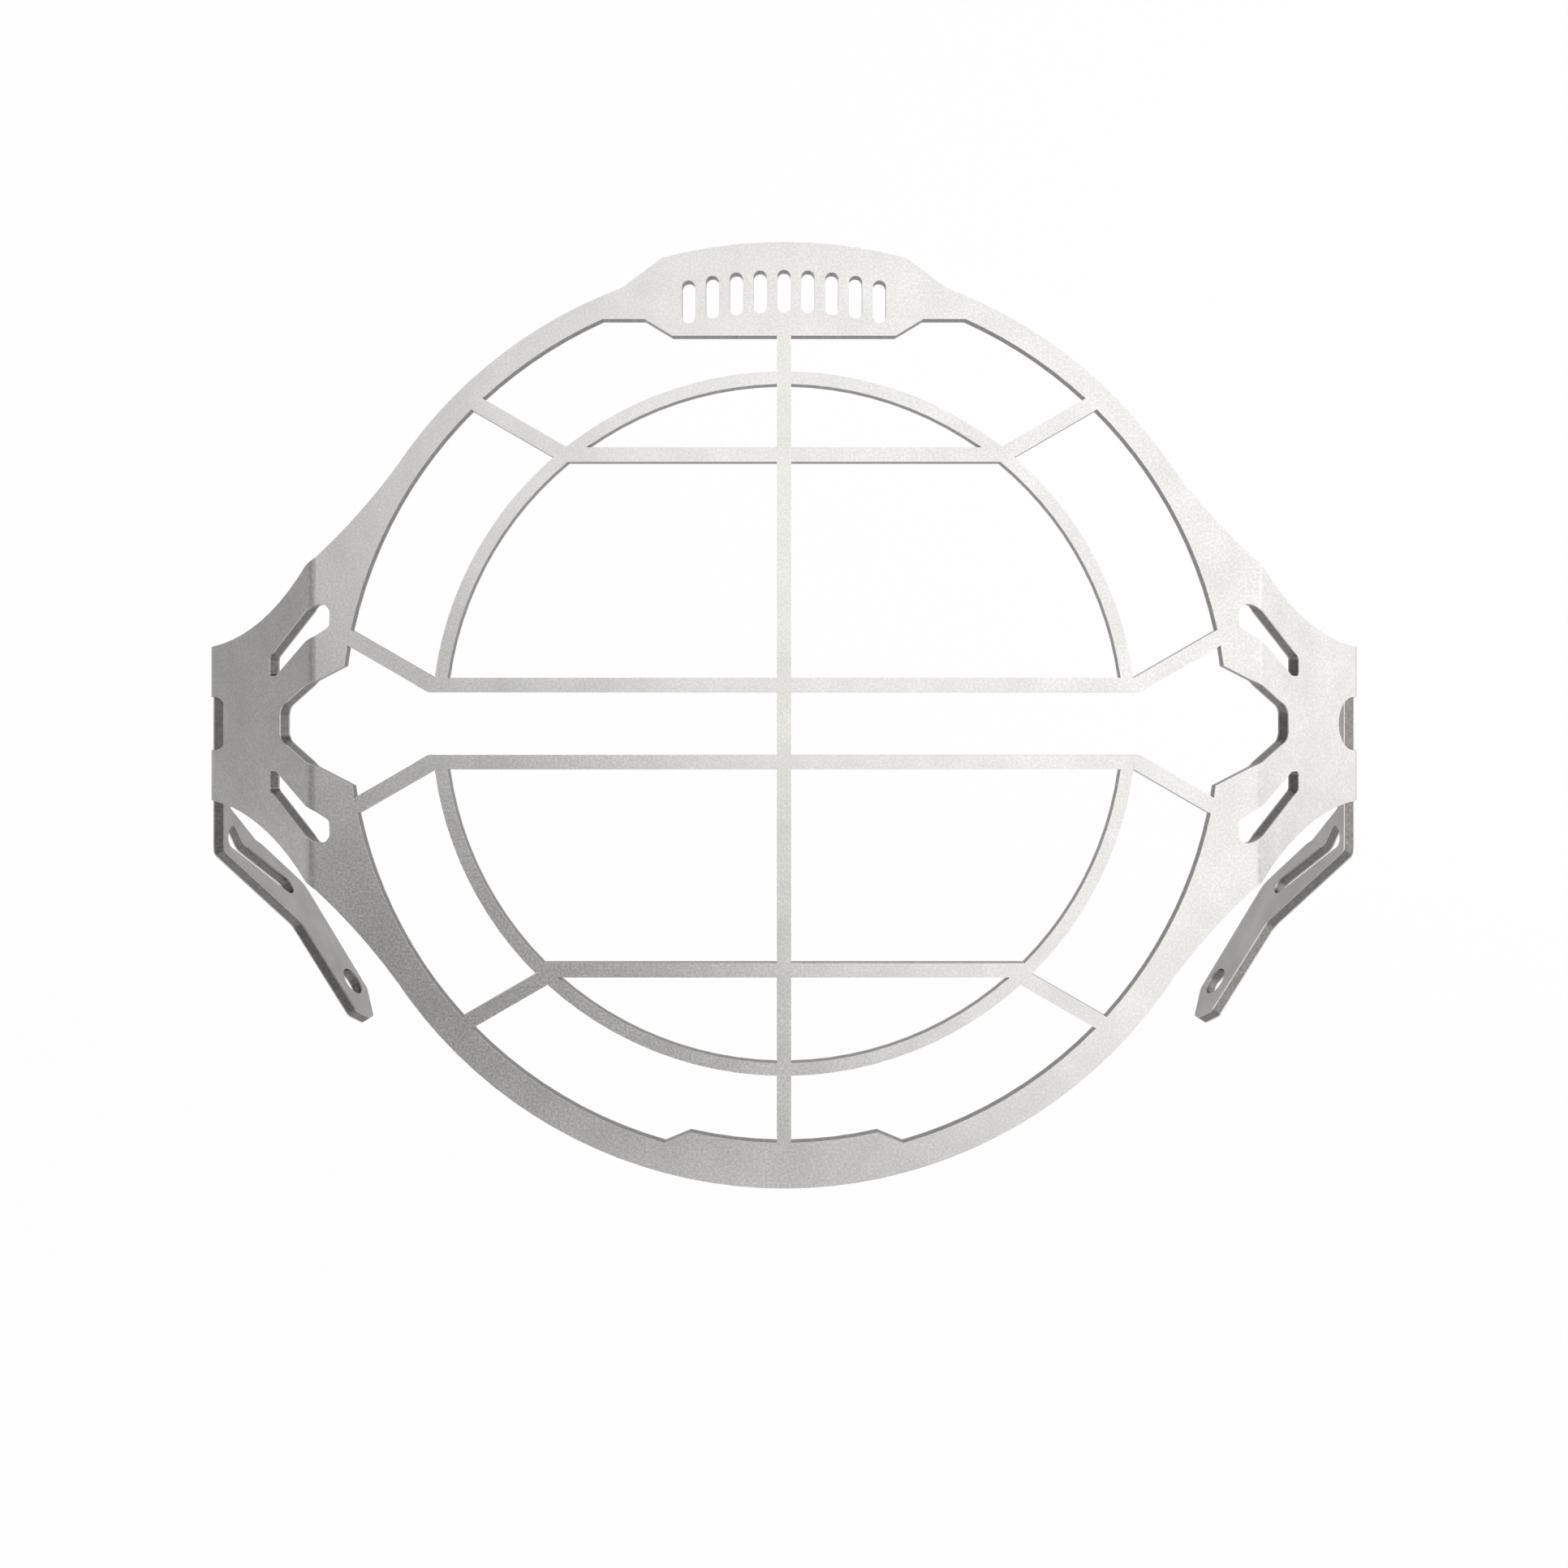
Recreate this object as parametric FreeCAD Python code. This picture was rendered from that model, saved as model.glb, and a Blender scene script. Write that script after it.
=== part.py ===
import FreeCAD, Part
import os
from math import cos, radians, sin, sqrt, tan
from FreeCAD import Vector

# Headlight guard, cut from one stainless sheet and folded. The sheet's flat pattern
# is drawn first, with u across and v up, and then folded: the middle stays upright
# and faces -Y, the two wings lean back, their ends turn square, and an arm hangs
# from each end. The origin is the middle of the ring, on the rear face.

# Sheet
thickness = 2.5
fold_radius = 2.0            # inside every fold
fold_steps = 4               # stretches that a fold is drawn in

# Front: a disc with a band round it, and a ring crossed by straight bars inside
disc_radius = 97.4
band_upper_width = 4.45      # of the band above the wings
band_lower_width = 6.0       # and below them
gap_width = 19.15            # between the upper band and the ring
ring_width = 2.6
bar_width = 3.0
middle_bar_height = 8.1      # of the pair beside the middle, above and below it
upper_chord_depth = 14.8     # of the upper bar below the ring's inner edge
lower_chord_depth = 19.5     # of the lower bar above it
spoke_width = 3.2
spoke_angle = 30.0           # from level
upper_spoke_inset = 1.0      # from the ring's outer edge to where the spokes start
lower_spoke_inset = 3.6
middle_spoke_outset = 0.6    # the middle ones start beyond it

# Top plate, with a row of plain slots
crown_rise = 3.5             # above the disc
crown_depth = 19.6
crown_step = 3.5             # its lower edge steps up by this beside the middle
top_half_width = 25.5
top_shoulder_drop = 7.0
top_shoulder_reach = 9.4
top_edge_half_width = 23.4
top_step_half_width = 29.2
slot_count = 9
slot_pitch = 5.0
slot_width = 2.8
slot_length = 9.0
slot_row_depth = 10.3        # below the crown's edge

# Thicker foot of the band
foot_width = 9.5
foot_half_width = 19.6
foot_ramp = 5.4

# Wings: half height at the front fold, halfway out and at the end fold
wing_fold_gap = 2.1          # from the disc's edge to the front fold, where the outer faces meet
wing_reach = 31.45           # from there to the outer face of the square end
wing_angle = 35.0
wing_root_height = 33.6
wing_waist_height = 23.4
wing_waist_out = 15.4
wing_end_height = 17.3
shoulder_angle = 36.3        # on the disc, where it runs into the wing
shoulder_hollow = 0.95       # depth of the curve there

# Opening that points into each wing, measured from the front fold: u and v
point_start = (-11.5, 14.3)
point_end = (9.8, 3.3)
point_corner_radius = 1.6
point_end_radius = 2.6

# Slot beside it, above and below, from the front fold: u, v and corner radius
wing_slot = [(-4.5, 27.2, 2.1), (-4.2, 20.3, 1.3), (11.1, 10.3, 1.0), (13.6, 10.3, 0.8), (13.6, 14.3, 1.2)]

# Window with a round end, open to the end fold
window_width = 12.0
window_depth = 9.2
lip_depth = 3.0              # flat of the square end, behind the fold
lip_corner_drop = 2.2

# Arm, measured from its front corner at the arm fold: back and down
arm_fold_height = -29.0      # on the inner face
arm_fold_angle = 32.0
arm_knee_front = (14.9, 22.0)
arm_knee_back = (28.4, 13.6)
arm_front_radius = 4.0       # of the bends in its two edges
arm_back_radius = 6.0
arm_back_top = 18.8
arm_length = 50.9
arm_tip_front = 19.5
arm_tip_back = 21.6
arm_tip_side = 27.2
arm_tip_rise = 6.5
arm_slot_top = (4.6, -3.4)
arm_slot_foot = (19.2, 12.3)
arm_slot_width = 5.0
arm_hole = (22.0, 40.9)
arm_hole_diameter = 7.0
corner_radius = 1.2          # small corners that are not sharp

# Places that follow from the sizes above
band_upper_radius = disc_radius - band_upper_width
band_lower_radius = disc_radius - band_lower_width
foot_radius = disc_radius - foot_width
ring_outer_radius = band_upper_radius - gap_width
ring_inner_radius = ring_outer_radius - ring_width
upper_chord_height = ring_inner_radius - upper_chord_depth
lower_chord_height = lower_chord_depth - ring_inner_radius
top_radius = disc_radius + crown_rise
top_edge_height = top_radius - crown_depth
top_step_height = top_edge_height + crown_step
slot_row_radius = top_radius - slot_row_depth
wing_fold_x = disc_radius + wing_fold_gap
outside = fold_radius + thickness
middle_fibre = fold_radius + thickness / 2
end_angle = 90.0 - wing_angle
wing_run = wing_reach / cos(radians(wing_angle))
front_setback = outside * tan(radians(wing_angle / 2))
end_setback = outside * tan(radians(end_angle / 2))
front_length = wing_fold_x - front_setback
wing_length = wing_run - front_setback - end_setback
front_fold_length = middle_fibre * radians(wing_angle)
end_fold_length = middle_fibre * radians(end_angle)
arm_fold_length = middle_fibre * radians(arm_fold_angle)
u_wing = front_length + front_fold_length
u_end_fold = u_wing + wing_length
u_lip = u_end_fold + end_fold_length
wing_shift = u_wing - front_setback
arm_setback = fold_radius * tan(radians(arm_fold_angle / 2))
v_arm_fold = arm_fold_height + arm_setback
v_arm = v_arm_fold - arm_fold_length
arm_shift = v_arm + arm_setback
overlap = 4.0                # of the arm's outline with the wing's
big = 300.0
across = Vector(1, 0, 0)
upward = Vector(0, 1, 0)
rise = Vector(0, 0, thickness)


def at(u, v):
    """A point of the flat pattern."""
    return Vector(u, v, 0)


def rounded(corners):
    """Face of a closed outline of (u, v, radius) corners, each rounded by its radius."""
    edges = []
    ends = []
    count = len(corners)
    for i, (u, v, radius) in enumerate(corners):
        here = at(u, v)
        before = at(*corners[i - 1][:2]) - here
        after = at(*corners[(i + 1) % count][:2]) - here
        if radius == 0:
            ends.append((here, here, None))
            continue
        half = before.getAngle(after) / 2
        before.normalize()
        after.normalize()
        reach = radius / tan(half)
        centre = here + (before + after).normalize() * (radius / sin(half))
        nearest = centre + (here - centre).normalize() * radius
        ends.append((here + before * reach, here + after * reach, nearest))
    for i, (start, stop, through) in enumerate(ends):
        if through is not None:
            edges.append(Part.Arc(start, through, stop).toShape())
        following = ends[(i + 1) % count][0]
        if stop.distanceToPoint(following) > 1e-6:
            edges.append(Part.LineSegment(stop, following).toShape())
    return Part.Face(Part.Wire(edges))


def plain(*points):
    """Face of a closed outline with sharp corners."""
    return rounded([(u, v, 0) for u, v in points])


def disc(radius, u=0.0, v=0.0):
    """Round face."""
    return Part.Face(Part.Wire(Part.makeCircle(radius, at(u, v))))


def strip(start, end, width):
    """Straight strip of the given width from one point to another."""
    along = at(*end) - at(*start)
    side = Vector(-along.y, along.x, 0).normalize() * (width / 2)
    a = at(*start)
    b = at(*end)
    return Part.Face(Part.makePolygon([a + side, b + side, b - side, a - side, a + side]))


def obround(start, end, width):
    """Slot with round ends, centred on two points."""
    ends = [disc(width / 2, *start), disc(width / 2, *end)]
    return strip(start, end, width).fuse(ends).removeSplitter()


def plate(face):
    """Flat piece of sheet with the face's outline, its rear face on the pattern plane."""
    return face.extrude(rise)


def with_mirror(shape, normal):
    """The shape and its mirror image across the plane with this normal through the origin."""
    return [shape, shape.mirror(Vector(0, 0, 0), normal)]


def band(low, high):
    """Level band of the pattern between two heights."""
    return plain((-big, low), (big, low), (big, high), (-big, high))


def on_circle(radius, u):
    """Height at which a circle round the origin stands over u."""
    return sqrt(radius ** 2 - u ** 2)


def wing_outline():
    """Right wing and its lip, from the disc out, symmetrical about the u axis."""
    angle = radians(shoulder_angle)
    start = at(disc_radius * cos(angle), disc_radius * sin(angle))
    root = at(wing_fold_x, wing_root_height)
    chord = root - start
    hollow = Vector(chord.y, -chord.x, 0).normalize() * shoulder_hollow
    waist = at(wing_shift + wing_waist_out, wing_waist_height)
    tip = at(u_lip, wing_end_height)
    end = at(u_lip + lip_depth, wing_end_height)
    upper = [
        Part.Arc(start, start + chord / 2 + hollow, root).toShape(),
        Part.Arc(root, waist, tip).toShape(),
        Part.LineSegment(tip, end).toShape(),
    ]
    lower = [edge.mirror(Vector(0, 0, 0), upward) for edge in upper]
    closing = [
        Part.LineSegment(end, at(end.x, -end.y)).toShape(),
        Part.LineSegment(start, at(start.x, -start.y)).toShape(),
    ]
    return Part.Face(Part.Wire(Part.__sortEdges__(upper + lower + closing)))


def arm_point(back, down):
    """Pattern point of a place on the arm below its fold."""
    return (u_lip + back, arm_shift - down)


def arm_outline():
    """Right arm, from the lip down to its tip, with its slot and hole cut out."""
    root = overlap - wing_end_height
    corners = [
        (u_lip, root, 0),
        (*arm_point(0, 0), corner_radius),
        (*arm_point(*arm_knee_front), arm_front_radius),
        (*arm_point(arm_knee_front[0], arm_length - arm_tip_rise / 2), corner_radius),
        (*arm_point(arm_tip_front, arm_length), corner_radius),
        (*arm_point(arm_tip_back, arm_length), corner_radius),
        (*arm_point(arm_tip_side, arm_length - arm_tip_rise), corner_radius),
        (*arm_point(*arm_knee_back), arm_back_radius),
        (*arm_point(arm_back_top, 0), arm_front_radius),
        (u_lip + lip_depth, -wing_end_height - lip_corner_drop, corner_radius),
        (u_lip + lip_depth, root, 0),
    ]
    slot = obround(arm_point(*arm_slot_top), arm_point(*arm_slot_foot), arm_slot_width)
    hole = disc(arm_hole_diameter / 2, *arm_point(*arm_hole))
    return rounded(corners).cut([slot, hole])


def spokes(radius, v):
    """The two spokes that run out to the band from a bar's ends, which lie on a circle."""
    u = on_circle(radius, v)
    reach = disc_radius / 2
    end_u = u + reach * cos(radians(spoke_angle))
    end_v = v + reach * sin(radians(spoke_angle)) * (1 if v > 0 else -1)
    return [strip((u, v), (end_u, end_v), spoke_width), strip((-u, v), (-end_u, end_v), spoke_width)]


def flat_sheet():
    """The whole sheet before it is folded."""
    shoulder = top_half_width + top_shoulder_reach
    top_corner = on_circle(top_radius, top_half_width)
    shoulder_top = top_corner - top_shoulder_drop
    crown = disc(top_radius).common(plain(
        (-shoulder, ring_outer_radius), (shoulder, ring_outer_radius), (shoulder, shoulder_top),
        (top_half_width, top_corner), (top_half_width, big), (-top_half_width, big),
        (-top_half_width, top_corner), (-shoulder, shoulder_top)))
    side = plate(wing_outline()).fuse(plate(arm_outline()))
    sheet = plate(disc(disc_radius)).fuse([plate(crown)] + with_mirror(side, across))

    # Ring gap, wider above the wings than below
    upper_gap = disc(band_upper_radius).common(band(0, big))
    lower_gap = disc(band_lower_radius).common(band(-big, 0))
    gap = plate(upper_gap).fuse(plate(lower_gap)).cut(plate(disc(ring_outer_radius)))
    top = plain(
        (-big, top_step_height), (-top_step_half_width, top_step_height),
        (-top_edge_half_width, top_edge_height), (top_edge_half_width, top_edge_height),
        (top_step_half_width, top_step_height), (big, top_step_height), (big, big), (-big, big))
    foot_side = foot_half_width + foot_ramp
    foot_top = on_circle(foot_radius, foot_half_width)
    foot_root = on_circle(band_lower_radius, foot_side)
    foot = plain(
        (-foot_half_width, -foot_top), (-foot_side, -foot_root), (-foot_side, -big),
        (foot_side, -big), (foot_side, -foot_root), (foot_half_width, -foot_top),
        (foot_half_width, -ring_outer_radius), (-foot_half_width, -ring_outer_radius)).cut(disc(foot_radius))
    upright = strip((0, -big), (0, big), bar_width)
    level = band(-middle_bar_height, middle_bar_height)
    webs = [top, foot, upright, level]
    webs += spokes(ring_outer_radius - upper_spoke_inset, upper_chord_height)
    webs += spokes(ring_outer_radius - lower_spoke_inset, lower_chord_height)
    for height in (middle_bar_height, -middle_bar_height):
        webs += spokes(ring_outer_radius + middle_spoke_outset, height)
    sheet = sheet.cut(gap.cut([plate(web) for web in webs]))

    # Openings inside the ring
    bars = [upright]
    for height in (upper_chord_height, middle_bar_height, -middle_bar_height, lower_chord_height):
        bars.append(strip((-big, height), (big, height), bar_width))
    sheet = sheet.cut(plate(disc(ring_inner_radius)).cut([plate(bar) for bar in bars]))

    # Long middle opening, whose ends point into the wings, and the holes of each wing
    half = middle_bar_height - bar_width / 2
    run = (point_start[1] - half) / tan(radians(spoke_angle))
    corners = [
        (bar_width / 2, half, 0),
        (wing_fold_x + point_start[0] - run, half, 0),
        (wing_fold_x + point_start[0], point_start[1], point_corner_radius),
        (wing_fold_x + point_end[0], point_end[1], point_end_radius),
    ]
    corners += [(u, -v, radius) for u, v, radius in reversed(corners)]
    window_start = u_lip - window_depth + window_width / 2
    wall = plain((0, -big), (u_lip, -big), (u_lip, big), (0, big))
    window = obround((window_start, 0), (u_lip + window_depth, 0), window_width).common(wall)
    slot = rounded([(wing_fold_x + u, v, radius) for u, v, radius in wing_slot])
    for hole in [plate(rounded(corners)), plate(window)] + with_mirror(plate(slot), upward):
        sheet = sheet.cut(with_mirror(hole, across))

    # Row of plain slots in the top plate
    row = []
    for i in range(slot_count):
        u = (i - (slot_count - 1) / 2) * slot_pitch
        v = on_circle(slot_row_radius, u)
        reach = (slot_length - slot_width) / 2
        row.append(plate(obround((u, v - reach), (u, v + reach), slot_width)))
    return sheet.cut(row).removeSplitter()


def part_of(sheet, left, right, low, high):
    """Stretch of the flat sheet between two places across and two places up."""
    return sheet.common(plate(plain((left, low), (right, low), (right, high), (left, high))))


def turned(shape, hinge, axis, travel, angle, share=1.0):
    """Shape carried round a fold by a share of it; travel is the sheet that the fold takes up."""
    result = shape.copy()
    result.translate(travel * -share)
    result.rotate(hinge, axis, angle * share)
    return result


def fold(sheet, hinge, axis, travel, angle):
    """Curved stretches of a fold, one for each strip of sheet that crosses it."""
    side = Vector(abs(travel.y), abs(travel.x), 0).normalize()
    sections = []
    for i in range(fold_steps + 1):
        share = i / fold_steps
        base = hinge + travel * share
        base = base - side * base.dot(side)
        base.z = 0
        # cut just inside the fold, where its strips begin and end
        inside = min(max(share, 0.001), 0.999)
        corner = base + travel * (inside - share) - side * big
        far = corner + side * 2 * big
        plane = Part.Face(Part.makePolygon([corner, far, far + rise, corner + rise, corner]))
        strips = []
        for face in sheet.common(plane).Faces:
            reaches = [vertex.Point.dot(side) for vertex in face.Vertexes]
            strips.append((min(reaches), max(reaches)))
        wires = []
        for low, high in sorted(strips):
            start = base + side * low
            end = base + side * high
            wire = Part.makePolygon([start, end, end + rise, start + rise, start])
            wires.append(turned(wire, hinge, axis, travel, angle, share))
        sections.append(wires)
    return [Part.makeLoft(list(wires), True, False) for wires in zip(*sections)]


def folded(sheet):
    """The sheet with its wings, ends and arms folded."""
    front_fold = (Vector(front_length, 0, -fold_radius), upward,
                  Vector(front_fold_length, 0, 0), wing_angle)
    end_fold = (Vector(u_end_fold, 0, -fold_radius), upward,
                Vector(end_fold_length, 0, 0), end_angle)
    arm_fold = (Vector(0, v_arm_fold, -fold_radius), across,
                Vector(0, -arm_fold_length, 0), arm_fold_angle)

    arm = part_of(sheet, u_lip, big, -big, v_arm)
    tab = part_of(sheet, u_lip, big, -big, big)
    hanging = fold(tab, *arm_fold) + [turned(arm, *arm_fold)]
    hanging.append(part_of(sheet, u_lip, big, v_arm_fold, big))
    ends = fold(sheet, *end_fold) + [turned(piece, *end_fold) for piece in hanging]
    ends.append(part_of(sheet, u_wing, u_end_fold, -big, big))
    side = fold(sheet, *front_fold) + [turned(piece, *front_fold) for piece in ends]
    pieces = side + [piece.mirror(Vector(0, 0, 0), across) for piece in side]
    front = part_of(sheet, -front_length, front_length, -big, big)
    whole = front.fuse(pieces).removeSplitter()
    whole.rotate(Vector(0, 0, 0), across, 90)
    return whole


guard = folded(flat_sheet())
os.makedirs("parts", exist_ok=True)
guard.Solids[0].exportStep(os.path.join("parts", "guard_plate.step"))
box = guard.BoundBox
print("solids", len(guard.Solids), "valid", guard.isValid(), "faces", len(guard.Faces))
print("size", round(box.XLength, 2), round(box.YLength, 2), round(box.ZLength, 2))
print("volume", round(guard.Volume, 1))
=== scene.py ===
"""Studio view of a motorcycle headlight guard cut from one stainless sheet and folded."""
from math import cos, radians, sin

import bmesh
import bpy
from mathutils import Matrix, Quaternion, Vector


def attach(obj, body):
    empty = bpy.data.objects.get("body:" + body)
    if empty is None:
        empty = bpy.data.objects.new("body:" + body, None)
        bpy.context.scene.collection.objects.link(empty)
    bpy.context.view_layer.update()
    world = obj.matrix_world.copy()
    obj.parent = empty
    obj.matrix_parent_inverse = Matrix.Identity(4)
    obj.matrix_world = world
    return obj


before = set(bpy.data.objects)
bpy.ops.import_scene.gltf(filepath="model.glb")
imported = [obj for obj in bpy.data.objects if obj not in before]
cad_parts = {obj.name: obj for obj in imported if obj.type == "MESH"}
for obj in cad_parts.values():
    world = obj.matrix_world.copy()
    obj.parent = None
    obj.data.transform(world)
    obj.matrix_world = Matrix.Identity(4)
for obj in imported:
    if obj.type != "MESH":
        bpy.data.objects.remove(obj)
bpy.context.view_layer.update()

# Camera. The picture is square, 1932 pixels a side. The guard faces -Y.
PICTURE = 1932
SENSOR = 0.036
DISTANCE = 0.255              # from the lens to the sheet's front face
PIXEL = 0.00017               # size of a pixel on the front face
MIDDLE_ROW = 891.6            # pixel row that looks straight at the guard's middle

# Folded sheet
THICKNESS = 0.0025
FRONT_FACE = -0.0025          # y of the front face
WING_FOLD = 0.0995            # x of the front fold, where the outer faces meet
WING_LEAN = radians(35)
END_FACE = 0.13095            # x of the square end's outer face
ARM_FOLD_HEIGHT = -0.029717   # where the arm's outer face meets that of the square end
ARM_LEAN = radians(32)
# outer faces of one side: direction, a point on it, and how soft the fold before it is
OUTER_FACES = [
    ((0, -1, 0), (0, FRONT_FACE, 0), 0),                                              # front
    ((sin(WING_LEAN), -cos(WING_LEAN), 0), (WING_FOLD, FRONT_FACE, 0), 0.0010),       # wing
    ((1, 0, 0), (END_FACE, 0, 0), 0.0022),                                            # square end
    ((cos(ARM_LEAN), 0, -sin(ARM_LEAN)), (END_FACE, 0, ARM_FOLD_HEIGHT), 0.0009),     # arm
]

# Steel
SATIN = ("c3c2c0", "cdccca")  # front face, in clouds
DIMPLE = "9b9a98"
MILL = ("858482", "979694")   # rear face, in clouds
WALL_TONE_AND_SHADE = ("5b5957", "8a8886")   # cut walls, in streaks, darker in part as painted shade
GRAIN = 0.0005                # the real grain is about 0.1 mm: it is drawn coarser, so that it shows
CLOUD = 0.009                 # patches where the blasting lay heavier
STREAK = 0.0006               # the real streaks are 0.2 mm apart: they are drawn coarser
STREAK_STRETCH = 0.12         # makes them long in the sheet's thickness
HIGHLIGHT_RIM = (0.00022, 0.00034)      # depths where the rim in the faces' colour beside a face ends and the bare walls begin: the rim is a painted highlight along the edges
REAR_HIGHLIGHT_RIM = (0.0002, 0.0001)   # the same for the mill grey of the rear face, which stops short of the walls and leaves a strip of satin colour there as a painted highlight

# Metal in one of the four corners where a middle bar's spoke leaves the ring: x and z
BAR_JOINT = [(0.0730, 0.0093), (0.0729, 0.0076), (0.0745, 0.0075), (0.0746, 0.0082), (0.07355, 0.00935)]
SUNK = 0.00002                # keeps its faces clear of the sheet's own

# Studio
FLOOR_DROP = 0.16             # floor under the guard's middle
FLOOR_FRONT = 0.20            # how far it reaches in front
BACKDROP_GAP = 0.75           # backdrop behind it
ROOM_HALF = 1.2
SWEEP_BEND = 0.35             # where the floor curves up into the backdrop
SWEEP_STEPS = 12
PAPER = "f4f4f2"
PAPER_GLOW = 0.97             # share of plain white in the paper where it is seen; the rest keeps the shadow
WHITE = (1, 1, 1, 1)
ROOM_LIGHT = 0.37
# name, place, roll, size and power of each light
SOFTBOXES = [
    ("key_softbox", (0.57, -1.08, 0.29), radians(37), 2.0, 18.2),
    ("fill_softbox", (-0.58, -1.08, 0.15), 0, 0.45, 0.40),
    ("right_softbox", (1.3, 0.1, 0.25), 0, 1.2, 6),
    ("left_softbox", (-1.3, 0.0, 0.2), 0, 1.6, 1.8),
]


def linear(hex_colour):
    """sRGB hex value as a linear colour with alpha."""
    channels = [int(hex_colour[i:i + 2], 16) / 255 for i in (0, 2, 4)]
    return [c / 12.92 if c <= 0.04045 else ((c + 0.055) / 1.055) ** 2.4 for c in channels] + [1.0]


def node(tree, kind, inputs=None, **settings):
    """Adds a node with its settings and its inputs, each a value or the socket that feeds it."""
    made = tree.nodes.new(kind)
    for name, value in settings.items():
        setattr(made, name, value)
    for name, value in (inputs or {}).items():
        if isinstance(value, bpy.types.NodeSocket):
            tree.links.new(value, made.inputs[name])
        else:
            made.inputs[name].default_value = value
    return made


def new_material(name):
    """Empty node material with its output node."""
    material = bpy.data.materials.new(name)
    material.use_nodes = True
    material.node_tree.nodes.clear()
    return material, material.node_tree, node(material.node_tree, "ShaderNodeOutputMaterial")


def maths(tree, operation, *values):
    """Result of a sum on values or sockets."""
    return node(tree, "ShaderNodeMath", dict(enumerate(values)), operation=operation).outputs[0]


def ramp(tree, value, start, end, low=0.0, high=1.0):
    """Straight ramp from low at the start to high at the end, held beyond both."""
    return node(tree, "ShaderNodeMapRange", {"Value": value, "From Min": start, "From Max": end,
                                             "To Min": low, "To Max": high}).outputs["Result"]


def noise(tree, place, size, detail=2.0, roughness=0.5):
    """Noise with patches of a real size, in metres."""
    return node(tree, "ShaderNodeTexNoise", {"Vector": place, "Scale": 1 / size, "Detail": detail,
                                             "Roughness": roughness}).outputs["Fac"]


def mixed(tree, factor, first, second):
    """Colour between two others, each a hex value or a socket."""
    first, second = (linear(colour) if isinstance(colour, str) else colour for colour in (first, second))
    return node(tree, "ShaderNodeMix", {"Factor": factor, "A": first, "B": second},
                data_type="RGBA").outputs["Result"]


def add_object(name, data):
    """New object in the scene."""
    made = bpy.data.objects.new(name, data)
    bpy.context.scene.collection.objects.link(made)
    return made


def shift_new(shape, made, step):
    """Moves the corners that an extrusion has just made."""
    corners = [item for item in made["geom"] if isinstance(item, bmesh.types.BMVert)]
    bmesh.ops.translate(shape, verts=corners, vec=step)


def shape_object(name, shape, material):
    """Object with a finished shape, in one material."""
    bmesh.ops.recalc_face_normals(shape, faces=shape.faces[:])
    mesh = bpy.data.meshes.new(name)
    shape.to_mesh(mesh)
    shape.free()
    mesh.materials.append(material)
    return add_object(name, mesh)


def make_camera():
    """Camera square to the guard, as close as the photograph was taken."""
    data = bpy.data.cameras.new("camera")
    data.sensor_width = SENSOR * 1000
    data.lens = data.sensor_width * DISTANCE / (PIXEL * PICTURE)
    data.shift_y = (MIDDLE_ROW - PICTURE / 2) / PICTURE
    data.clip_start = 0.01
    data.clip_end = 20
    camera = add_object("camera", data)
    camera.location = (0, FRONT_FACE - DISTANCE, 0)
    camera.rotation_euler = (radians(90), 0, 0)
    bpy.context.scene.camera = camera


def height_over_sheet(tree, place):
    """Distance from the outer face of the folded sheet, in metres, which is negative inside the metal."""
    axes = node(tree, "ShaderNodeSeparateXYZ", {"Vector": place}).outputs
    aside = maths(tree, "ABSOLUTE", axes["X"])
    half = node(tree, "ShaderNodeCombineXYZ", {"X": aside, "Y": axes["Y"], "Z": axes["Z"]}).outputs[0]
    height = None
    for direction, point, soft in OUTER_FACES:
        along = node(tree, "ShaderNodeVectorMath", {0: half, 1: direction}, operation="DOT_PRODUCT")
        above = maths(tree, "SUBTRACT", along.outputs["Value"], Vector(direction).dot(Vector(point)))
        height = above if height is None else maths(tree, "SMOOTH_MAX", height, above, soft)
    return height


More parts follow.
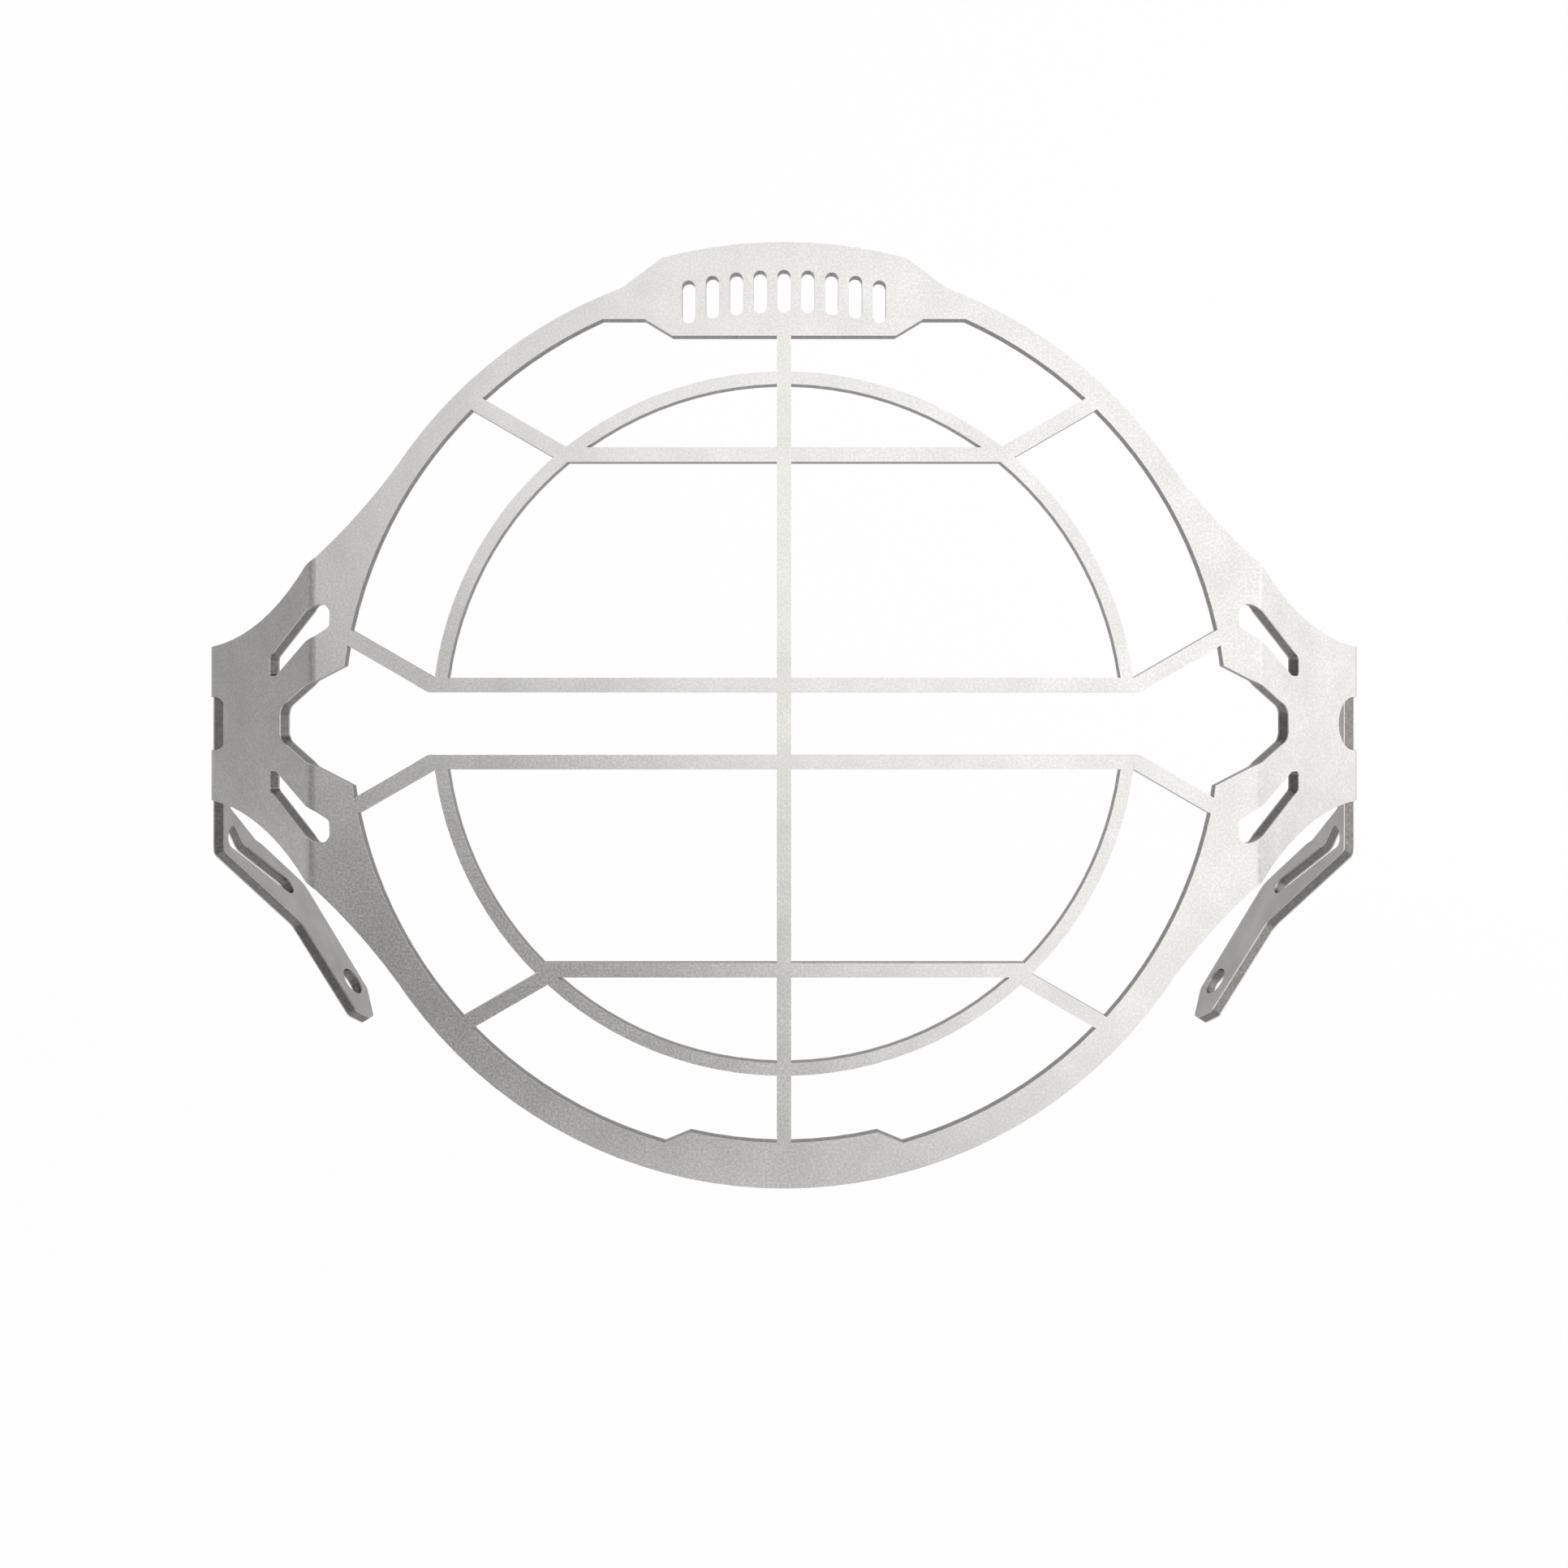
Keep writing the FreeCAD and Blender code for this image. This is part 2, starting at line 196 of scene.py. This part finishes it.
def blasted_stainless():
    """Stainless sheet, bead-blasted after cutting: its faces are an even satin grey with a fine grain and
    faint clouds, and its laser-cut walls are darker, with streaks across the thickness; part of the walls'
    darkness is painted shade, and a thin rim in the faces' colour along each edge of the walls is a painted
    highlight."""
    material, tree, out = new_material("bead_blasted_stainless")
    place = node(tree, "ShaderNodeTexCoord").outputs["Object"]
    grain = noise(tree, place, GRAIN, detail=3.0, roughness=0.6)
    cloud = ramp(tree, noise(tree, place, CLOUD), 0.3, 0.7)
    # dimples left by the beads, darker than the ground between them
    dimples = ramp(tree, grain, 0.42, 0.64, low=0.42, high=0.0)
    front = mixed(tree, dimples, mixed(tree, cloud, *SATIN), DIMPLE)
    height = height_over_sheet(tree, place)
    # the rear face is blasted less and keeps more of the mill's grey; a thin strip beside its edge keeps the
    # satin colour as a painted highlight
    behind = ramp(tree, height, REAR_HIGHLIGHT_RIM[0] - THICKNESS, REAR_HIGHLIGHT_RIM[1] - THICKNESS, high=0.8)
    face = mixed(tree, behind, front, mixed(tree, cloud, *MILL))
    # the cut walls, darker in part as painted shade, apart from a thin rim beside each face that keeps the
    # faces' colour as a painted highlight along the edges
    stretch = node(tree, "ShaderNodeMapping", {"Vector": place, "Scale": (1, STREAK_STRETCH, 1)})
    # laser-cut streaks in a darker grey, whose darkness is partly painted shade
    wall_tone_and_shade = mixed(tree, noise(tree, stretch.outputs[0], STREAK), *WALL_TONE_AND_SHADE)
    below = ramp(tree, height, -HIGHLIGHT_RIM[0], -HIGHLIGHT_RIM[1])
    above = ramp(tree, height, HIGHLIGHT_RIM[0] - THICKNESS, HIGHLIGHT_RIM[1] - THICKNESS)
    colour = mixed(tree, maths(tree, "MULTIPLY", below, above), face, wall_tone_and_shade)
    bump = node(tree, "ShaderNodeBump", {"Height": grain, "Strength": 0.25, "Distance": 0.00006})
    shader = node(tree, "ShaderNodeBsdfPrincipled", {
        "Base Color": colour, "Metallic": 1.0, "Roughness": ramp(tree, grain, 0.3, 0.7, low=0.27, high=0.37),
        "Normal": bump.outputs["Normal"]})
    tree.links.new(shader.outputs["BSDF"], out.inputs["Surface"])
    return material


def close_bar_joints(steel):
    """Metal in the corners of the middle bars' spokes, flush with both faces of the sheet."""
    shape = bmesh.new()
    face = shape.faces.new([shape.verts.new((x, FRONT_FACE + SUNK, z)) for x, z in BAR_JOINT])
    raised = bmesh.ops.extrude_face_region(shape, geom=[face], use_keep_orig=True)
    shift_new(shape, raised, (0, THICKNESS - 2 * SUNK, 0))
    for axis in ("X", "Z"):
        bmesh.ops.mirror(shape, geom=shape.verts[:] + shape.edges[:] + shape.faces[:], merge_dist=1e-6,
                         axis=axis)
    joints = shape_object("bar_joints", shape, steel)
    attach(joints, "root")


def studio_paper():
    """Pale seamless paper. Seen straight or in the metal it is white, and it keeps a faint shadow."""
    material, tree, out = new_material("studio_paper")
    matt = node(tree, "ShaderNodeBsdfDiffuse", {"Color": linear(PAPER)}).outputs[0]
    white = node(tree, "ShaderNodeEmission", {"Color": WHITE, "Strength": 1.0}).outputs[0]
    ray = node(tree, "ShaderNodeLightPath").outputs
    seen = maths(tree, "MAXIMUM", ray["Is Camera Ray"], ray["Is Glossy Ray"])
    shown = maths(tree, "MAXIMUM", seen, ray["Is Transmission Ray"])
    share = maths(tree, "MULTIPLY", shown, PAPER_GLOW)
    both = node(tree, "ShaderNodeMixShader", {"Fac": share, 1: matt, 2: white})
    tree.links.new(both.outputs[0], out.inputs["Surface"])
    return material


def make_studio():
    """Floor and backdrop in one sweep of paper."""
    shape = bmesh.new()
    front, corner, top = [shape.verts.new((-ROOM_HALF, y, z)) for y, z in (
        (-FLOOR_FRONT, -FLOOR_DROP), (BACKDROP_GAP, -FLOOR_DROP), (BACKDROP_GAP, ROOM_HALF))]
    shape.edges.new((front, corner))
    shape.edges.new((corner, top))
    bmesh.ops.bevel(shape, geom=[corner], offset=SWEEP_BEND, segments=SWEEP_STEPS, profile=0.5,
                    affect="VERTICES", material=-1)
    swept = bmesh.ops.extrude_edge_only(shape, edges=shape.edges[:])
    shift_new(shape, swept, (2 * ROOM_HALF, 0, 0))
    sweep = shape_object("studio_sweep", shape, studio_paper())


def softbox(name, place, roll, size, power):
    """Square soft light at a place, aimed at the guard and rolled about that line."""
    data = bpy.data.lights.new(name, "AREA")
    data.shape = "SQUARE"
    data.size = size
    data.energy = power
    light = add_object(name, data)
    light.location = place
    aim = (-Vector(place)).to_track_quat("-Z", "Y")
    light.rotation_euler = (aim @ Quaternion((0, 0, 1), roll)).to_euler()


def make_light():
    """Plain soft light, stronger from the upper right, in a pale room that is white where it is seen."""
    world = bpy.data.worlds.new("pale_room")
    world.use_nodes = True
    tree = world.node_tree
    tree.nodes.clear()
    out = node(tree, "ShaderNodeOutputWorld")
    room, white = [node(tree, "ShaderNodeBackground", {"Color": WHITE, "Strength": strength}).outputs[0]
                   for strength in (ROOM_LIGHT, 1.0)]
    ray = node(tree, "ShaderNodeLightPath").outputs
    both = node(tree, "ShaderNodeMixShader", {"Fac": ray["Is Camera Ray"], 1: room, 2: white})
    tree.links.new(both.outputs[0], out.inputs["Surface"])
    bpy.context.scene.world = world
    for light in SOFTBOXES:
        softbox(*light)


make_camera()
bpy.context.scene.view_settings.view_transform = "Standard"

steel = blasted_stainless()
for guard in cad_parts.values():
    for slot in guard.material_slots:
        slot.material = steel

close_bar_joints(steel)
make_studio()
make_light()
